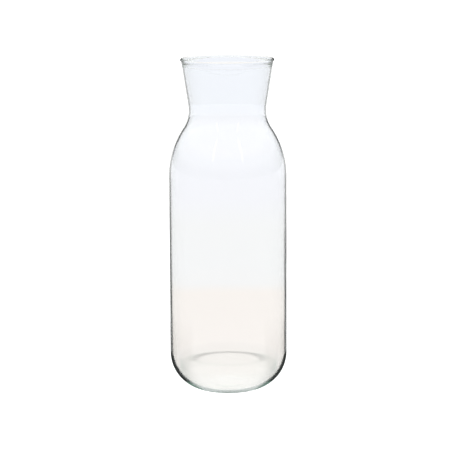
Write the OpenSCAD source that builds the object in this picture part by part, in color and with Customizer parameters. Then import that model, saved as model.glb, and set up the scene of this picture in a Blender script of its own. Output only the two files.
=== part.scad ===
// Water carafe: one blown glass vessel with a straight body, a drawn-in waist and a flared, open mouth.
// Its round heel runs level into the ring that it stands on, and the push-up within is very shallow.
// The origin is the centre of that ring, and +Z is up.

/* [Overall] */
// Height from the standing ring to the top of the lip
total_h = 256; // [240:0.5:300]
// Outside diameter of the straight body
body_d = 90; // [85:0.5:97]

/* [Shoulder and neck] */
// Radius of the round shoulder above the body, on the outside of the glass
shoulder_curve_r = 65.6; // [50:0.2:80]
// Outside diameter at the waist, the narrowest place of the neck
waist_d = 59; // [52:0.5:66]
// Radius of the hollow curve through the waist, on the outside of the glass
neck_curve_r = 25.7; // [20:0.1:32]
// Height of the lip above the waist
neck_h = 39.1; // [36:0.1:60]
// Outside diameter of the lip
mouth_d = 71.5; // [69:0.5:80]

/* [Base] */
// Radius of the round heel between the body and the base, on the outside of the glass
heel_curve_r = 28.5; // [27.5:0.1:30]
// Radius of the heel on the inside of the glass
heel_inner_r = 27.4; // [26:0.1:28]
// Width of the flat standing ring
foot_ring_w = 2; // [1:0.25:5]
// Height of the push-up under the base, at its centre
punt_h = 0.3; // [0.2:0.1:1.5]
// Rise of the inner floor at its centre
floor_rise = 0.6; // [0.3:0.1:2]

/* [Glass] */
// Thickness of the base above the standing ring
floor_t = 2.1; // [1.8:0.1:4]
// Thickness of the wall where the body meets the heel
wall_t = 1.5; // [1.3:0.1:2.4]
// Thickness of the wall from the shoulder to the lip
neck_wall_t = 1.3; // [1:0.1:1.5]
// Thickness of the rounded, fire-polished lip
lip_t = 2.3; // [2.3:0.1:3.4]
// How far the lip stands out of the flared neck
lip_proud = 0.7; // [0.3:0.1:0.8]

/* [Hidden] */

// Facets round the vessel
$fn = 144;
// Largest turn from one straight stretch of an arc to the next, in degrees
arc_step = 4;
// The heel meets the standing ring this far outside its own lowest point
foot_edge = 0.7;

body_r = body_d / 2;
waist_r = waist_d / 2;
lip_r = lip_t / 2;

// The section is one outline of straight lines and arcs, in [radius, height], and each arc has a centre
heel_x = body_r - heel_curve_r;
foot_r = heel_x + foot_edge;
heel_start = acos((foot_r - heel_x) / heel_curve_r);
heel_centre = [heel_x, heel_curve_r * sin(heel_start)];
neck_centre = [waist_r + neck_curve_r, total_h - neck_h];

// The shoulder arc and the neck arc meet in one tangent, swung this far from the vertical
swing = acos(1 - (body_r - waist_r) / (neck_curve_r + shoulder_curve_r));
shoulder_centre = neck_centre - (neck_curve_r + shoulder_curve_r) * [cos(swing), sin(swing)];

// The flare is a cone, tangent to the neck arc, that runs into the lip below its middle
lip_centre = [mouth_d / 2 - lip_r, total_h - lip_r];
flare_run = lip_centre + [lip_r - lip_proud, 0] - neck_centre;
flare = 180 - atan2(flare_run[1], flare_run[0]) - acos(neck_curve_r / norm(flare_run));
flare_off = (lip_r - lip_proud) * cos(flare);
lip_start = -flare - acos(flare_off / lip_r);
lip_end = 360 - flare - acos((flare_off - neck_wall_t) / lip_r);

// The inner floor is the top of a wide ball, tangent to the inner heel
inner_heel_centre = [body_r - wall_t - heel_inner_r, floor_t + heel_inner_r];
floor_tilt = 2 * atan(floor_rise / inner_heel_centre[0]);
floor_ball_r = inner_heel_centre[0] / sin(floor_tilt) - heel_inner_r;
floor_centre = [0, inner_heel_centre[1] - (floor_ball_r + heel_inner_r) * cos(floor_tilt)];

// The push-up is part of a ball that meets the standing ring at its inner edge
punt_half = foot_r - foot_ring_w;
punt_ball_r = (punt_half ^ 2 + punt_h ^ 2) / (2 * punt_h);
punt_centre = [0, punt_h - punt_ball_r];
punt_tilt = asin(punt_half / punt_ball_r);

// Points of an arc from one angle to another. An arc that follows on another leaves out its first point.
function arc(centre, r, from, to, first = 1) =
    let (steps = ceil(abs(to - from) / arc_step))
    [for (i = [first:steps]) let (a = from + (to - from) * i / steps) centre + r * [cos(a), sin(a)]];

outer_side = concat(
    arc(heel_centre, heel_curve_r, -heel_start, 0, 0),
    arc(shoulder_centre, shoulder_curve_r, 0, swing, 0),
    arc(neck_centre, neck_curve_r, 180 + swing, 180 - flare)
);

inner_side = concat(
    arc(neck_centre, neck_curve_r + neck_wall_t, 180 - flare, 180 + swing, 0),
    arc(shoulder_centre, shoulder_curve_r - neck_wall_t, swing, 0),
    arc(inner_heel_centre, heel_inner_r, 0, -90 - floor_tilt, 0),
    arc(floor_centre, floor_ball_r, 90 - floor_tilt, 90)
);

module glass_vessel() {
    lip = concat(arc(lip_centre, lip_r, lip_start, 90, 0), arc(lip_centre, lip_r, 90, lip_end));
    underside = arc(punt_centre, punt_ball_r, 90, 90 - punt_tilt, 0);
    color([0.86, 0.93, 0.92, 0.35])
    rotate_extrude() polygon(concat(outer_side, lip, inner_side, underside));
}

glass_vessel();
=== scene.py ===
"""A water carafe of clear blown glass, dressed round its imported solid, on a plain white sweep.

Every length is in metres, in the solid's own frame: +Z is up and the origin is the centre of the
standing ring. The glass is one closed skin, revolved by Geometry Nodes from a section of lines and
arcs, and the studio round it is what clear glass shows: a bright table behind it and dark corners
beside it."""

import math

import bpy
from mathutils import Euler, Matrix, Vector


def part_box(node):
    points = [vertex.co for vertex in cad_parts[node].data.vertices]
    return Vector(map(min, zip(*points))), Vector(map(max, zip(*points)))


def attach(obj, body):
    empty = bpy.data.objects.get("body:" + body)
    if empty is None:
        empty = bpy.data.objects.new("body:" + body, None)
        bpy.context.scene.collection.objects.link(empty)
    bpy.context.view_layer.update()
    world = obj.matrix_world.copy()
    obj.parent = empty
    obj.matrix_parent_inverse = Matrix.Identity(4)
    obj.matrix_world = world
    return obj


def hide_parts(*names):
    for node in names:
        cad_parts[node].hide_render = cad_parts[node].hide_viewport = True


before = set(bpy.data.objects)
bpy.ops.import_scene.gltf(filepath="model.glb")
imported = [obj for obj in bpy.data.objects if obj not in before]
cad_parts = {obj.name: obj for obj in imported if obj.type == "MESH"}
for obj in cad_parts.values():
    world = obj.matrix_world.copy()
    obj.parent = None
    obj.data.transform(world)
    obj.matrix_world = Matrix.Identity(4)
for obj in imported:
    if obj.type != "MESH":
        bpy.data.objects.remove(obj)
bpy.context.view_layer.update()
LOW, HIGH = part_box("glass_vessel")

bl_info = {
    "name": "Blown glass carafe",
    "version": (1, 0, 0),
    "blender": (4, 5, 0),
    "location": "View3D > Sidebar > Carafe",
    "description": "Builds a clear glass carafe and the white studio that it is seen in",
    "category": "Add Mesh",
}

VESSEL = "clear_glass_vessel"
MM = 0.001

TABLE_WHITE = 0.9  # share of the light that the white laminate throws back
TABLE_REACH = 6.0  # radius of the round table and paper
TABLE_SIDES = 96
RAMP_REACH = 2.0  # distance from the carafe at which the table's ramps end
EDGE_FADE = 1.12  # the warm white fades out from the table's edge to this many times its radius

FRAME_MM = 36.0
LENS_MM = 165.8
CAMERA_PLACE = (-0.0023, -1.5677, 0.404)
CAMERA_DOWN = 9.992  # degrees below the level
CAMERA_ROLL = -0.294  # degrees
BOUNCES = 64  # a look through the thick base meets its skins some twenty times


# ---------------------------------------------------------------- sizes and colours


def size(name, description, default):
    """A length that a user may change, in metres."""
    return bpy.props.FloatProperty(
        name=name, description=description, default=default, min=0.0, unit="LENGTH", precision=5
    )


def amount(name, description, default, low=0.0, high=100.0):
    """A plain number that a user may change."""
    return bpy.props.FloatProperty(
        name=name, description=description, default=default, min=low, max=high
    )


def angle(name, description, degrees):
    """An angle that a user may change."""
    return bpy.props.FloatProperty(
        name=name,
        description=description,
        default=math.radians(degrees),
        subtype="ANGLE",
        unit="ROTATION",
    )


def linear(hex_colour):
    """The linear colour of an sRGB hex value such as F6F3EF."""
    parts = [int(hex_colour[i : i + 2], 16) / 255 for i in (0, 2, 4)]
    return [c / 12.92 if c <= 0.04045 else ((c + 0.055) / 1.055) ** 2.4 for c in parts]


def colour(name, description, hex_colour):
    """A colour that a user may change."""
    return bpy.props.FloatVectorProperty(
        name=name,
        description=description,
        default=linear(hex_colour),
        size=3,
        min=0.0,
        max=1.0,
        subtype="COLOR",
    )


class VesselSizes(bpy.types.PropertyGroup):
    """Sizes of the section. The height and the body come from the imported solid."""

    height: size("Height", "From the standing ring to the top of the lip", HIGH[2] - LOW[2])
    body_r: size("Body radius", "Outside radius of the straight body", (HIGH[0] - LOW[0]) / 2)
    shoulder_r: size("Shoulder curve", "Radius of the round shoulder, outside", 65.6 * MM)
    waist_r: size("Waist radius", "Outside radius at the narrowest place", 29.5 * MM)
    neck_r: size("Neck curve", "Radius of the hollow curve through the waist", 25.7 * MM)
    neck_h: size("Neck height", "Height of the lip above the waist", 39.1 * MM)
    mouth_r: size("Mouth radius", "Outside radius of the lip", 35.75 * MM)
    heel_r: size("Heel curve", "Radius of the round heel, outside", 28.5 * MM)
    heel_inner_r: size("Inner heel curve", "Radius of the heel on the inside", 27.4 * MM)
    foot_r: size("Foot radius", "Outer radius of the standing ring", 17.2 * MM)
    ring_w: size("Ring width", "Width of the flat standing ring", 2.0 * MM)
    ring_soft: size("Ring rounding", "How far each edge of the ring is melted round", 1.2 * MM)
    punt_h: size("Push-up", "Height of the push-up at its centre", 0.3 * MM)
    floor_rise: size("Floor rise", "Rise of the inner floor at its centre", 0.6 * MM)
    floor_t: size("Base thickness", "Glass above the standing ring", 2.1 * MM)
    wall_t: size("Wall", "Wall where the body meets the heel", 1.5 * MM)
    neck_wall_t: size("Neck wall", "Wall from the shoulder to the lip", 1.3 * MM)
    lip_r: size("Lip radius", "Half the thickness of the fire-polished lip", 1.15 * MM)
    lip_proud: size("Lip proud", "How far the lip stands out of the neck", 0.7 * MM)
    sides: bpy.props.IntProperty(
        name="Sides", description="Facets round the vessel", default=216, min=24, max=512
    )
    wave: size("Wall wave", "How far blowing left the inside of the wall uneven", 0.05 * MM)
    wave_len: size("Wave length", "Distance from one swell of the wall to the next", 38 * MM)


class GlassLook(bpy.types.PropertyGroup):
    """What clear soda-lime glass does to light."""

    ior: amount("IOR", "Refractive index of soda-lime glass", 1.52, 1.0, 2.0)
    body_tint: colour("Body tint", "Colour that the iron in the glass lets through", "C2EEDD")
    tint_per_m: amount("Tint density", "Share taken off by a metre of glass", 12.0)
    ripple: size("Ripple", "Height of the skin's ripple", 0.004 * MM)
    ripple_len: size("Ripple length", "Distance between two ripples", 14 * MM)
    shade: amount("Waist shade", "What a lamp loses where it grazes the waist", 0.95, 0.0, 1.0)
    shade_rest: amount("Edge shade", "What a lamp loses where it grazes the rest", 0.05, 0.0, 1.0)
    shade_from: amount("Shade from", "How nearly edge on the shade begins", 0.65, 0.0, 1.0)


class StudioLook(bpy.types.PropertyGroup):
    """The table, the sweep behind it and the lamps."""

    table: colour("Table", "Table round the carafe, a warm white", "F7F1ED")
    sweep: colour("Sweep", "Paper past the table's edge, a plain white", "F4F4F5")
    haze: colour("Haze", "Paper farther off, a little cooler", "F4F4F9")
    far: colour("Far wall", "What stands far behind, a cool white", "F5F8FF")
    table_r: size("Table radius", "Where the table's warm white ends", 0.356)
    key_tilt: angle("Key lamp height", "Height of the key lamp above the horizon", 69.4)
    key_angle: angle("Key lamp spread", "How wide the key lamp looks from the table", 1.9)
    key: amount("Key lamp", "What the key lamp adds to a white table", 0.65)
    sky: amount("Fill light", "What the pale room adds to a white table", 0.25)
    strip: amount("Strip lamps", "Brightness of the tall lamps mirrored beside the camera", 2.5)
    strip_turn: angle("Strip lamps aside", "How far aside of the camera those lamps stand", 32.0)
    strip_half: angle("Pale strip", "Half width of the pale strips that the glass bends into", 13.0)
    led_after: amount("Led after", "Turns inside the wall after which little comes back", 11.5)
    led: colour("Led light", "What does come back along the wall, a grey green", "A9B9B2")
    through: amount("Through", "What a look through the glass gains on the lit table", 0.06)


# ---------------------------------------------------------------- the glass


def arc(centre, r, start, end, step=2.0, first=1):
    """Points of an arc in (radius, height), the first one left out where it follows another."""
    count = max(2, math.ceil(abs(end - start) / step))
    turns = [math.radians(start + (end - start) * i / count) for i in range(first, count + 1)]
    return [(centre[0] + r * math.cos(a), centre[1] + r * math.sin(a)) for a in turns]


def stretch(start, end, length):
    """Points along a straight stretch, its two ends left out."""
    count = max(1, round(math.dist(start, end) / length))
    share = [i / count for i in range(1, count)]
    return [tuple(a + (b - a) * t for a, b in zip(start, end)) for t in share]


def slope_of(run):
    """The angle of a run in (radius, height) above the level, in degrees."""
    return math.degrees(math.atan2(run[1], run[0]))


def melted(before, corner, after, reach):
    """A corner melted round: a quadratic curve from reach before it to reach after it."""
    a = Vector(corner) + (Vector(before) - Vector(corner)).normalized() * reach
    b = Vector(corner) + (Vector(after) - Vector(corner)).normalized() * reach
    c = Vector(corner)
    shares = (0, 0.25, 0.5, 0.75, 1)
    return [tuple(a * (1 - t) ** 2 + c * 2 * t * (1 - t) + b * t * t) for t in shares]


def clear_of(points, corner, reach):
    """The points that lie farther than reach from a corner."""
    return [p for p in points if math.dist(p, corner) > reach]


def glass_section(s):
    """The section as one run of points from the centre of the underside, over the lip, to the
    centre of the inner floor, with the same centres and tangents as the solid's."""
    cos, sin = math.cos, math.sin
    heel_x = s.body_r - s.heel_r
    heel_start = math.degrees(math.acos((s.foot_r - heel_x) / s.heel_r))
    heel_centre = (heel_x, s.heel_r * sin(math.radians(heel_start)))
    neck_centre = (s.waist_r + s.neck_r, s.height - s.neck_h)
    both = s.neck_r + s.shoulder_r
    swing = math.acos(1 - (s.body_r - s.waist_r) / both)
    shoulder_centre = (neck_centre[0] - both * cos(swing), neck_centre[1] - both * sin(swing))
    swing = math.degrees(swing)

    lip_centre = (s.mouth_r - s.lip_r, s.height - s.lip_r)
    run = (
        lip_centre[0] + s.lip_r - s.lip_proud - neck_centre[0],
        lip_centre[1] - neck_centre[1],
    )
    flare = 180 - slope_of(run) - math.degrees(math.acos(s.neck_r / math.hypot(*run)))
    flare_off = (s.lip_r - s.lip_proud) * cos(math.radians(flare))
    lip_start = -flare - math.degrees(math.acos(flare_off / s.lip_r))
    lip_end = 360 - flare - math.degrees(math.acos((flare_off - s.neck_wall_t) / s.lip_r))

    inner_heel = (s.body_r - s.wall_t - s.heel_inner_r, s.floor_t + s.heel_inner_r)
    tilt = 2 * math.atan(s.floor_rise / inner_heel[0])
    floor_ball = inner_heel[0] / sin(tilt) - s.heel_inner_r
    floor_centre = (0.0, inner_heel[1] - (floor_ball + s.heel_inner_r) * cos(tilt))
    tilt = math.degrees(tilt)

    punt_half = s.foot_r - s.ring_w
    punt_ball = (punt_half**2 + s.punt_h**2) / (2 * s.punt_h)
    punt_tilt = math.degrees(math.asin(punt_half / punt_ball))

    underside = arc((0.0, s.punt_h - punt_ball), punt_ball, 90, 90 - punt_tilt, 1.2, 0)
    heel = arc(heel_centre, s.heel_r, -heel_start, 0, 2.0, 0)
    ring_in, ring_out = (punt_half, 0.0), (s.foot_r, 0.0)
    # Each edge of the ring is melted round, over less than half of the ring's width
    soft, room_for = min(s.ring_soft, s.ring_w * 0.45), s.ring_soft * 1.2
    base = clear_of(underside, ring_in, room_for) + melted(underside[-2], ring_in, ring_out, soft)
    base += melted(ring_in, ring_out, heel[1], soft) + clear_of(heel, ring_out, room_for)

    shoulder = arc(shoulder_centre, s.shoulder_r, 0, swing, 1.5, 0)
    neck = arc(neck_centre, s.neck_r, 180 + swing, 180 - flare)
    lip = arc(lip_centre, s.lip_r, lip_start, 90, 9, 0) + arc(lip_centre, s.lip_r, 90, lip_end, 9)
    inner_neck = arc(neck_centre, s.neck_r + s.neck_wall_t, 180 - flare, 180 + swing, 2.0, 0)
    inner_shoulder = arc(shoulder_centre, s.shoulder_r - s.neck_wall_t, swing, 0, 1.5)
    inner_base = arc(inner_heel, s.heel_inner_r, 0, -90 - tilt, 2.0, 0)
    inner_floor = arc(floor_centre, floor_ball, 90 - tilt, 90, 0.5)

    points = base + stretch(base[-1], shoulder[0], 5 * MM) + shoulder + neck
    points += stretch(neck[-1], lip[0], 4 * MM) + lip
    points += stretch(lip[-1], inner_neck[0], 4 * MM) + inner_neck + inner_shoulder
    points += stretch(inner_shoulder[-1], inner_base[0], 5 * MM) + inner_base + inner_floor
    points[0], points[-1] = (0.0, points[0][1]), (0.0, points[-1][1])
    return points


def add(tree, kind, links=(), **settings):
    """Adds a node, sets its fields and links its inputs. links pairs an input's name or number
    with a socket to link or a value to set."""
    node = tree.nodes.new(kind)
    for field, value in settings.items():
        setattr(node, field, value)
    for key, value in links:
        socket = node.inputs[key]
        if isinstance(value, bpy.types.NodeSocket):
            tree.links.new(value, socket)
        else:
            socket.default_value = value
    return node


def math_node(tree, operation, *values):
    """The result of one sum on sockets or numbers."""
    return add(tree, "ShaderNodeMath", enumerate(values), operation=operation).outputs[0]


def revolve_tree():
    """Geometry Nodes that revolve a section round Z and leave its inner wall slightly uneven."""
    tree = bpy.data.node_groups.new("revolve_glass", "GeometryNodeTree")
    face = tree.interface
    face.new_socket("Vessel", in_out="OUTPUT", socket_type="NodeSocketGeometry")
    face.new_socket("Section", in_out="INPUT", socket_type="NodeSocketGeometry")
    for name, kind in (
        ("Sides", "NodeSocketInt"),
        ("Wave", "NodeSocketFloat"),
        ("Wave length", "NodeSocketFloat"),
        ("Seed", "NodeSocketFloat"),
        ("Inner skin", "NodeSocketFloat"),
        ("Glass", "NodeSocketMaterial"),
    ):
        face.new_socket(name, in_out="INPUT", socket_type=kind)
    given = tree.nodes.new("NodeGroupInput").outputs
    points = add(tree, "GeometryNodeAttributeDomainSize", [(0, given["Section"])]).outputs[
        "Point Count"
    ]
    around = math_node(tree, "ADD", given["Sides"], 1.0)
    sheet = add(tree, "GeometryNodeMeshGrid", [("Vertices X", around), ("Vertices Y", points)])

    # A sheet of points, one column for each facet, is wrapped round Z by the section's own points
    index = add(tree, "GeometryNodeInputIndex").outputs[0]
    along = math_node(tree, "MODULO", index, points)
    column = math_node(tree, "FLOOR", math_node(tree, "DIVIDE", index, points))
    turn = math_node(tree, "MULTIPLY", math_node(tree, "DIVIDE", column, given["Sides"]), math.tau)
    place = add(tree, "GeometryNodeInputPosition").outputs[0]
    taken = add(tree, "GeometryNodeSampleIndex", data_type="FLOAT_VECTOR", domain="POINT")
    tree.links.new(given["Section"], taken.inputs["Geometry"])
    tree.links.new(place, taken.inputs["Value"])
    tree.links.new(along, taken.inputs["Index"])
    wrapped = add(
        tree,
        "ShaderNodeVectorRotate",
        [("Vector", taken.outputs[0]), ("Angle", turn)],
        rotation_type="Z_AXIS",
    ).outputs[0]
    skin = add(
        tree, "GeometryNodeSetPosition", [("Geometry", sheet.outputs[0]), ("Position", wrapped)]
    )
    closed = add(
        tree, "GeometryNodeMergeByDistance", [("Geometry", skin.outputs[0]), ("Distance", 1e-6)]
    )

    # The inside was never touched by a mould, so it swells and thins by a few hundredths
    swell = add(
        tree,
        "ShaderNodeTexNoise",
        [
            ("Scale", math_node(tree, "DIVIDE", 1.0, given["Wave length"])),
            ("W", given["Seed"]),
            ("Detail", 0.0),
        ],
        noise_dimensions="4D",
    )
    tree.links.new(place, swell.inputs["Vector"])
    depth = math_node(
        tree, "MULTIPLY", math_node(tree, "SUBTRACT", swell.outputs[0], 0.5), given["Wave"]
    )
    where = add(tree, "ShaderNodeSeparateXYZ", [(0, place)]).outputs
    normal = add(tree, "GeometryNodeInputNormal").outputs[0]
    facing = add(tree, "ShaderNodeSeparateXYZ", [(0, normal)])
    outward = math_node(
        tree,
        "ADD",
        math_node(tree, "MULTIPLY", where[0], facing.outputs[0]),
        math_node(tree, "MULTIPLY", where[1], facing.outputs[1]),
    )
    inside = math_node(tree, "LESS_THAN", outward, 0.0)
    below_lip = math_node(tree, "LESS_THAN", where[2], given["Inner skin"])
    off_floor = math_node(tree, "GREATER_THAN", where[2], 0.02)
    share = math_node(tree, "MULTIPLY", inside, math_node(tree, "MULTIPLY", below_lip, off_floor))
    push = add(tree, "ShaderNodeVectorMath", operation="SCALE")
    tree.links.new(normal, push.inputs[0])
    tree.links.new(math_node(tree, "MULTIPLY", share, depth), push.inputs["Scale"])
    uneven = add(
        tree,
        "GeometryNodeSetPosition",
        [("Geometry", closed.outputs[0]), ("Offset", push.outputs[0])],
    )
    smooth = add(tree, "GeometryNodeSetShadeSmooth", [("Geometry", uneven.outputs[0])])
    real = add(tree, "GeometryNodeRealizeInstances", [("Geometry", smooth.outputs[0])])
    done = add(
        tree,
        "GeometryNodeSetMaterial",
        [("Geometry", real.outputs[0]), ("Material", given["Glass"])],
    )
    add(tree, "NodeGroupOutput", [(0, done.outputs[0])])
    return tree


def set_inputs(modifier, **values):
    """Sets a Geometry Nodes modifier's inputs by the identifiers of their sockets."""
    for item in modifier.node_group.interface.items_tree:
        if item.in_out == "INPUT" and item.name in values:
            modifier[item.identifier] = values[item.name]


def plain_mesh(made, name):
    """The evaluated object's result as a plain mesh on an object of its own."""
    graph = bpy.context.evaluated_depsgraph_get()
    mesh = bpy.data.meshes.new_from_object(made.evaluated_get(graph), depsgraph=graph)
    mesh.name = name
    old = made.data
    made.modifiers.clear()
    made.data = mesh
    bpy.data.meshes.remove(old)
    return made


def blown_soda_lime_glass(look, waist):
    """Clear soda-lime glass, blown into a turned mould: no colour through the thin wall, a cool
    green along the thick base, and a skin that ripples the lines behind it a little."""
    m = bpy.data.materials.new("blown_soda_lime_glass")
    m.use_nodes = True
    tree = m.node_tree
    tree.nodes.clear()
    spot = add(tree, "ShaderNodeTexCoord").outputs["Object"]
    ripple = add(
        tree,
        "ShaderNodeTexNoise",
        [("Vector", spot), ("Scale", 1 / look.ripple_len), ("Detail", 1.0), ("Roughness", 0.4)],
    )
    skin = add(
        tree,
        "ShaderNodeBump",
        [("Strength", 1.0), ("Distance", look.ripple), ("Height", ripple.outputs[0])],
    )
    glass = add(
        tree,
        "ShaderNodeBsdfPrincipled",
        [
            ("Base Color", (1, 1, 1, 1)),
            ("Roughness", 0.0),
            ("IOR", look.ior),
            ("Transmission Weight", 1.0),
            ("Normal", skin.outputs[0]),
        ],
    )
    # Lamps pass the glass and lose light only where they graze it, and most in a band under the
    # waist, whose shadow is the arc that the table shows behind the base
    graze = add(tree, "ShaderNodeLayerWeight", [("Blend", 0.5)]).outputs["Facing"]
    height = add(tree, "ShaderNodeSeparateXYZ", [(0, spot)]).outputs[2]
    zoom, soft = 2.0, 2 * MM  # the ramp runs from 0 to 1, which stands for half a metre
    low, high = waist - 17 * MM, waist - 5 * MM
    edges = [(low - soft, 0.0), (low + soft, 1.0), (high - soft, 1.0), (high + soft, 0.0)]
    band = steps(
        tree, math_node(tree, "MULTIPLY", height, zoom), [(z * zoom, on) for z, on in edges]
    )
    line = steps(tree, graze, [(look.shade_from, 0.0), (look.shade_from + 0.12, 1.0)])
    strength = add(
        tree,
        "ShaderNodeMapRange",
        [("Value", band), ("To Min", look.shade_rest), ("To Max", look.shade)],
    ).outputs[0]
    taken = math_node(tree, "MULTIPLY", line, strength)
    let_by = math_node(tree, "SUBTRACT", 1.0, taken)
    lamps = add(tree, "ShaderNodeBsdfTransparent", [("Color", let_by)])
    shadow = add(tree, "ShaderNodeLightPath").outputs["Is Shadow Ray"]
    mixed = add(
        tree, "ShaderNodeMixShader", [(0, shadow), (1, glass.outputs[0]), (2, lamps.outputs[0])]
    )
    tint = add(
        tree,
        "ShaderNodeVolumeAbsorption",
        [("Color", (*look.body_tint, 1)), ("Density", look.tint_per_m)],
    )
    add(
        tree,
        "ShaderNodeOutputMaterial",
        [("Surface", mixed.outputs[0]), ("Volume", tint.outputs[0])],
    )
    return m


class CARAFE_OT_vessel(bpy.types.Operator):
    """Revolve the glass vessel from its section and give it its glass"""

    bl_idname = "carafe.vessel"
    bl_label = "Glass vessel"

    def execute(self, context):
        sizes, look = context.scene.carafe_sizes, context.scene.carafe_glass
        points = glass_section(sizes)
        mesh = bpy.data.meshes.new("section")
        mesh.from_pydata(
            [(r, 0.0, z) for r, z in points], [(i, i + 1) for i in range(len(points) - 1)], []
        )
        vessel = bpy.data.objects.new(VESSEL, mesh)
        context.scene.collection.objects.link(vessel)
        nodes = vessel.modifiers.new("revolve", "NODES")
        nodes.node_group = revolve_tree()
        set_inputs(
            nodes,
            **{
                "Sides": sizes.sides,
                "Wave": sizes.wave * 2,
                "Wave length": sizes.wave_len,
                "Seed": 4.0,
                "Inner skin": sizes.height - 8 * MM,
                "Glass": blown_soda_lime_glass(look, sizes.height - sizes.neck_h),
            },
        )
        plain_mesh(vessel, VESSEL)
        # Light that the table throws back passes the glass, so the base stands on a lit table
        vessel.visible_diffuse = False
        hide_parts("glass_vessel")
        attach(vessel, "root")
        return {"FINISHED"}


# ---------------------------------------------------------------- the studio


def ray_kinds(tree, look):
    """What reaches a surface, each 0 or 1: the camera, a look straight through the glass, a look
    turned back inside its wall, a look that a skin mirrors on its way through the hollow, a look
    led so far along the wall that little comes back, and a mirror on its outside."""
    path = add(tree, "ShaderNodeLightPath").outputs
    mirrored = math_node(tree, "GREATER_THAN", path["Glossy Depth"], 0.5)
    led = math_node(tree, "GREATER_THAN", path["Glossy Depth"], look.led_after)
    looks = math_node(tree, "LESS_THAN", path["Diffuse Depth"], 0.5)
    passed = math_node(tree, "GREATER_THAN", path["Transmission Depth"], 0.5)
    passed = math_node(tree, "MULTIPLY", passed, looks)
    straight = math_node(tree, "MULTIPLY", passed, math_node(tree, "SUBTRACT", 1.0, mirrored))
    turned = math_node(tree, "MULTIPLY", passed, mirrored)
    crossed = math_node(tree, "GREATER_THAN", path["Transmission Depth"], 2.5)
    hollow = math_node(tree, "MULTIPLY", turned, crossed)
    outside = math_node(tree, "MULTIPLY", mirrored, math_node(tree, "SUBTRACT", 1.0, passed))
    return path["Is Camera Ray"], straight, turned, hollow, led, outside


def one_wall(tree):
    """1 where a look has passed one wall at the most, as over the near lip, 0 elsewhere."""
    path = add(tree, "ShaderNodeLightPath").outputs
    return math_node(tree, "LESS_THAN", path["Transmission Depth"], 2.5)


def twice(tree):
    """1 where a look has been mirrored more than once, 0 elsewhere."""
    path = add(tree, "ShaderNodeLightPath").outputs
    return math_node(tree, "GREATER_THAN", path["Glossy Depth"], 1.5)


def opaque(tone):
    """A colour or a grey as the four values that a socket or a ramp holds."""
    return (*tone, 1) if hasattr(tone, "__len__") else (tone, tone, tone, 1)


def chosen(tree, start, choices):
    """A colour that starts as one and becomes another where a ray is of that kind."""
    result = start
    for kind, value in choices:
        mix = add(tree, "ShaderNodeMix", [(0, kind)], data_type="RGBA")
        for socket, given in ((mix.inputs[6], result), (mix.inputs[7], value)):
            if isinstance(given, bpy.types.NodeSocket):
                tree.links.new(given, socket)
            else:
                socket.default_value = opaque(given)
        result = mix.outputs[2]
    return result


def steps(tree, value, stops):
    """A colour ramp over value. stops pairs a place from 0 to 1 with a colour or a grey."""
    ramp = add(tree, "ShaderNodeValToRGB", [(0, value)])
    elements = ramp.color_ramp.elements
    while len(elements) < len(stops):
        elements.new(0.5)
    for element, (place, tone) in zip(elements, stops):
        element.position = place
        element.color = opaque(tone)
    return ramp.outputs[0]


def near_axes(tree, x, y, half_angle, margin):
    """1 in the four quarters that face the carafe's front, back and sides, 0 between them, so
    that its walls show a painted reflection, a pale strip with a dark one beside it, from each of
    those sides."""
    x, y = (math_node(tree, "ABSOLUTE", value) for value in (x, y))
    near = math_node(tree, "SUBTRACT", math_node(tree, "MINIMUM", x, y), margin)
    slope = math_node(tree, "DIVIDE", near, math_node(tree, "MAXIMUM", x, y))
    fade = add(
        tree,
        "ShaderNodeMapRange",
        [
            ("Value", slope),
            ("From Min", math.tan(half_angle * 0.85)),
            ("From Max", math.tan(half_angle * 1.15)),
            ("To Min", 1.0),
            ("To Max", 0.0),
        ],
    )
    return fade.outputs[0]


def aside_of(tree, x, y):
    """0 right behind the carafe, a half behind it at 45 degrees, 1 beside and in front of it."""
    x = math_node(tree, "ABSOLUTE", x)
    behind = math_node(tree, "MAXIMUM", y, 0.0001)
    return math_node(tree, "DIVIDE", x, math_node(tree, "ADD", x, behind))


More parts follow.
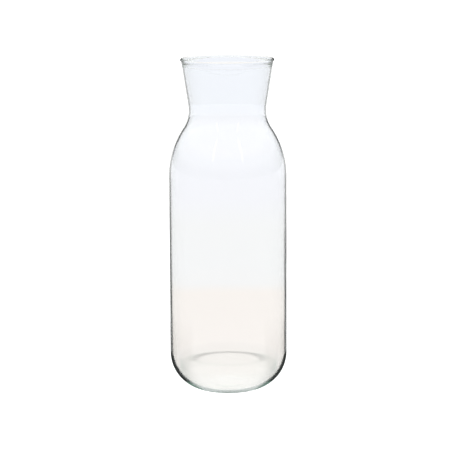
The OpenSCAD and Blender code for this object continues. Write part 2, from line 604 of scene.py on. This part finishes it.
def table_and_sweep(look):
    """White laminate table and paper sweep. The camera and a look straight through the glass see
    it as white. To a look that the glass turns round inside its wall it is painted dark, as painted
    shade, with painted pale strips towards the front, back and sides and a painted pale patch in
    front of the foot."""
    m = bpy.data.materials.new("white_table_and_paper")
    m.use_nodes = True
    tree = m.node_tree
    tree.nodes.clear()
    camera, straight, turned, hollow, led, outside = ray_kinds(tree, look)
    once = math_node(tree, "MULTIPLY", straight, one_wall(tree))
    spot = add(tree, "ShaderNodeTexCoord").outputs["Object"]
    x, y = add(tree, "ShaderNodeSeparateXYZ", [(0, spot)]).outputs[:2]
    away = add(tree, "ShaderNodeVectorMath", [(0, spot)], operation="LENGTH").outputs["Value"]
    far = math_node(tree, "DIVIDE", away, RAMP_REACH)
    edge = look.table_r / RAMP_REACH
    tone = steps(
        tree,
        far,
        [
            (0.0, look.table),
            (edge, look.table),
            (edge * EDGE_FADE, look.sweep),
            (0.35, look.sweep),
            (0.45, look.haze),
            (1.0, look.far),
        ],
    )
    # Painted shade: to a turned look the table is painted dark, a dark green painted shadow at the
    # foot, painted shade round it and grey farther off
    foot_shadow_green = (0.03, 0.09, 0.07)
    dark = steps(
        tree,
        far,
        [(0.0, foot_shadow_green), (0.02, 0.04), (0.15, 0.04), (0.3, 0.12), (0.65, 0.3), (1.0, 0.34)],
    )
    # Painted light: a pale patch is painted in front of the foot, and the far table beside the
    # carafe is painted paler too
    front = math_node(
        tree,
        "SUBTRACT",
        math_node(tree, "MULTIPLY", y, -1.0),
        math_node(tree, "MULTIPLY", math_node(tree, "ABSOLUTE", x), 0.3),
    )
    front = steps(tree, math_node(tree, "MULTIPLY", front, 10.0), [(0.0, 0.0), (0.25, 1.0)])
    patch = steps(tree, far, [(0.0135, 0.0), (0.016, 1.0), (0.06, 1.0), (0.17, 0.0)])
    front = math_node(tree, "MULTIPLY", front, patch)
    beside = steps(tree, aside_of(tree, x, y), [(0.37, 0.0), (0.47, 0.6), (1.0, 1.0)])
    beside = math_node(tree, "MULTIPLY", beside, steps(tree, far, [(0.1, 0.0), (0.15, 1.0)]))
    # Painted reflection: pale strips on the table for a look mirrored more than once
    pale = math_node(tree, "MULTIPLY", near_axes(tree, x, y, look.strip_half, 0.05), twice(tree))
    under = chosen(tree, dark, [(beside, 0.3), (front, 0.65)])
    seen = chosen(tree, under, [(pale, 1.0)])
    kinds = [
        (straight, tone),
        (once, 1.0),
        (turned, seen),
        (hollow, tone),
        (led, look.led),
        (outside, under),
    ]
    lit = add(tree, "ShaderNodeBsdfDiffuse", [("Color", chosen(tree, TABLE_WHITE, kinds))])
    clear = math_node(tree, "MAXIMUM", straight, hollow)
    # A little glow keeps the table white to the camera and lifts it behind the glass
    top_up = chosen(tree, 0.0, [(camera, 0.5), (clear, tone)])
    strength = math_node(tree, "ADD", camera, math_node(tree, "MULTIPLY", clear, look.through))
    glow = add(tree, "ShaderNodeEmission", [("Color", top_up), ("Strength", strength)])
    both = add(tree, "ShaderNodeAddShader", [(0, lit.outputs[0]), (1, glow.outputs[0])])
    add(tree, "ShaderNodeOutputMaterial", [("Surface", both.outputs[0])])
    return m


def room(look):
    """The pale room: white for the camera, cool white through the glass, soft light on the table,
    and dim walls under a pale ceiling for what the glass turns round or mirrors."""
    world = bpy.data.worlds.new("pale_room")
    world.use_nodes = True
    tree = world.node_tree
    tree.nodes.clear()
    camera, straight, turned, hollow, led, outside = ray_kinds(tree, look)
    x, y, up = add(
        tree,
        "ShaderNodeSeparateXYZ",
        [(0, add(tree, "ShaderNodeTexCoord").outputs["Generated"])],
    ).outputs
    # Painted reflection: pale strips in the room for a look mirrored more than once
    pale = math_node(tree, "MULTIPLY", near_axes(tree, x, y, look.strip_half, 0.0), twice(tree))
    corners = steps(tree, up, [(0.0, 0.12), (0.1, 0.15), (0.25, 0.8), (1.0, 0.9)])
    inner = chosen(tree, corners, [(pale, 0.95)])
    beside = aside_of(tree, x, y)
    ceiling = steps(tree, up, [(0.35, 0.0), (0.5, 1.0)])
    walls = steps(tree, beside, [(0.37, 0.15), (0.47, 0.3), (1.0, 0.4)])
    walls = chosen(tree, walls, [(ceiling, 0.9)])
    # Painted highlight: two tall lamp strips are painted into the room in front, one on each side,
    # seen only in the glass's outside mirror, and draw a faint upright line on the shoulder
    aside = math_node(
        tree,
        "ADD",
        math_node(tree, "ABSOLUTE", x),
        math_node(tree, "MULTIPLY", y, math.tan(look.strip_turn)),
    )
    lamp = steps(tree, math_node(tree, "ABSOLUTE", aside), [(0.0, 1.0), (0.02, 1.0), (0.035, 0.0)])
    tall = steps(tree, up, [(0.3, 0.0), (0.4, 1.0), (0.72, 1.0), (0.8, 0.0)])
    painted_strip_highlight = math_node(tree, "MULTIPLY", math_node(tree, "MULTIPLY", lamp, tall), look.strip)
    painted_strip_highlight = math_node(tree, "MULTIPLY", painted_strip_highlight, math_node(tree, "LESS_THAN", y, 0.0))
    mirrored = add(tree, "ShaderNodeVectorMath", [(0, walls), (1, painted_strip_highlight)], operation="ADD")
    # What the wall leads right round comes from behind as a grey green, and from aside as dark
    led_tone = steps(tree, beside, [(0.0, look.led), (0.33, look.led), (0.43, 0.02)])
    tone = chosen(
        tree,
        look.sky,
        [
            (camera, 1.0),
            (straight, look.far),
            (turned, inner),
            (hollow, 1.05),
            (led, led_tone),
            (outside, mirrored.outputs[0]),
        ],
    )
    sky = add(tree, "ShaderNodeBackground", [("Color", tone), ("Strength", 1.0)])
    add(tree, "ShaderNodeOutputWorld", [("Surface", sky.outputs[0])])
    return world


def aimed(name, data, place, target):
    """A lamp at place that points at target."""
    lamp = bpy.data.objects.new(name, data)
    lamp.location = place
    lamp.rotation_euler = (Vector(target) - Vector(place)).to_track_quat("-Z", "Y").to_euler()
    bpy.context.scene.collection.objects.link(lamp)
    return lamp


class CARAFE_OT_studio(bpy.types.Operator):
    """Lay the table and the sweep, hang the lamps and set the camera"""

    bl_idname = "carafe.studio"
    bl_label = "Studio"

    def execute(self, context):
        scene, look = context.scene, context.scene.carafe_studio
        turns = [math.tau * i / TABLE_SIDES for i in range(TABLE_SIDES)]
        ring = [(TABLE_REACH * math.cos(a), TABLE_REACH * math.sin(a), 0.0) for a in turns]
        mesh = bpy.data.meshes.new("table")
        mesh.from_pydata(ring, [], [list(range(TABLE_SIDES))])
        mesh.materials.append(table_and_sweep(look))
        table = bpy.data.objects.new("table", mesh)
        scene.collection.objects.link(table)
        scene.world = room(look)

        key = bpy.data.lights.new("key", "SUN")
        key.energy = look.key * math.pi / TABLE_WHITE / math.sin(look.key_tilt)
        key.angle = look.key_angle
        height = Vector((0.0, -math.cos(look.key_tilt), math.sin(look.key_tilt))) * 3
        sun = aimed("key", key, height, (0.0, 0.0, 0.0))
        sun.visible_glossy = sun.visible_transmission = False

        # A long lens, 1.6 m away and 10 degrees above the level
        lens = bpy.data.cameras.new("camera")
        lens.sensor_width, lens.lens = FRAME_MM, LENS_MM
        lens.clip_end = 50.0
        camera = bpy.data.objects.new("camera", lens)
        camera.location = CAMERA_PLACE
        tilt = Euler((math.radians(90 - CAMERA_DOWN), 0.0, 0.0)).to_matrix()
        roll = Euler((0.0, 0.0, math.radians(CAMERA_ROLL))).to_matrix()
        camera.rotation_euler = (tilt @ roll).to_euler()
        scene.collection.objects.link(camera)
        scene.camera = camera
        scene.view_settings.view_transform = "Standard"
        light = scene.cycles
        light.max_bounces = light.transmission_bounces = light.glossy_bounces = BOUNCES
        return {"FINISHED"}


class CARAFE_PT_panel(bpy.types.Panel):
    """The carafe's operators and sizes"""

    bl_idname = "CARAFE_PT_panel"
    bl_label = "Glass carafe"
    bl_space_type = "VIEW_3D"
    bl_region_type = "UI"
    bl_category = "Carafe"

    def draw(self, context):
        for step in STEPS:
            self.layout.operator(step.bl_idname)
        for name, group in GROUPS.items():
            box = self.layout.box()
            for field in group.__annotations__:
                box.prop(getattr(context.scene, name), field)


STEPS = (CARAFE_OT_studio, CARAFE_OT_vessel)
GROUPS = {
    "carafe_sizes": VesselSizes,
    "carafe_glass": GlassLook,
    "carafe_studio": StudioLook,
}


def register():
    for cls in (*GROUPS.values(), *STEPS, CARAFE_PT_panel):
        bpy.utils.register_class(cls)
    for name, group in GROUPS.items():
        setattr(bpy.types.Scene, name, bpy.props.PointerProperty(type=group))


def unregister():
    for name in GROUPS:
        delattr(bpy.types.Scene, name)
    for cls in (CARAFE_PT_panel, *reversed(STEPS), *reversed(GROUPS.values())):
        bpy.utils.unregister_class(cls)


def main():
    register()
    bpy.ops.carafe.studio()
    bpy.ops.carafe.vessel()


if __name__ == "__main__":
    main()
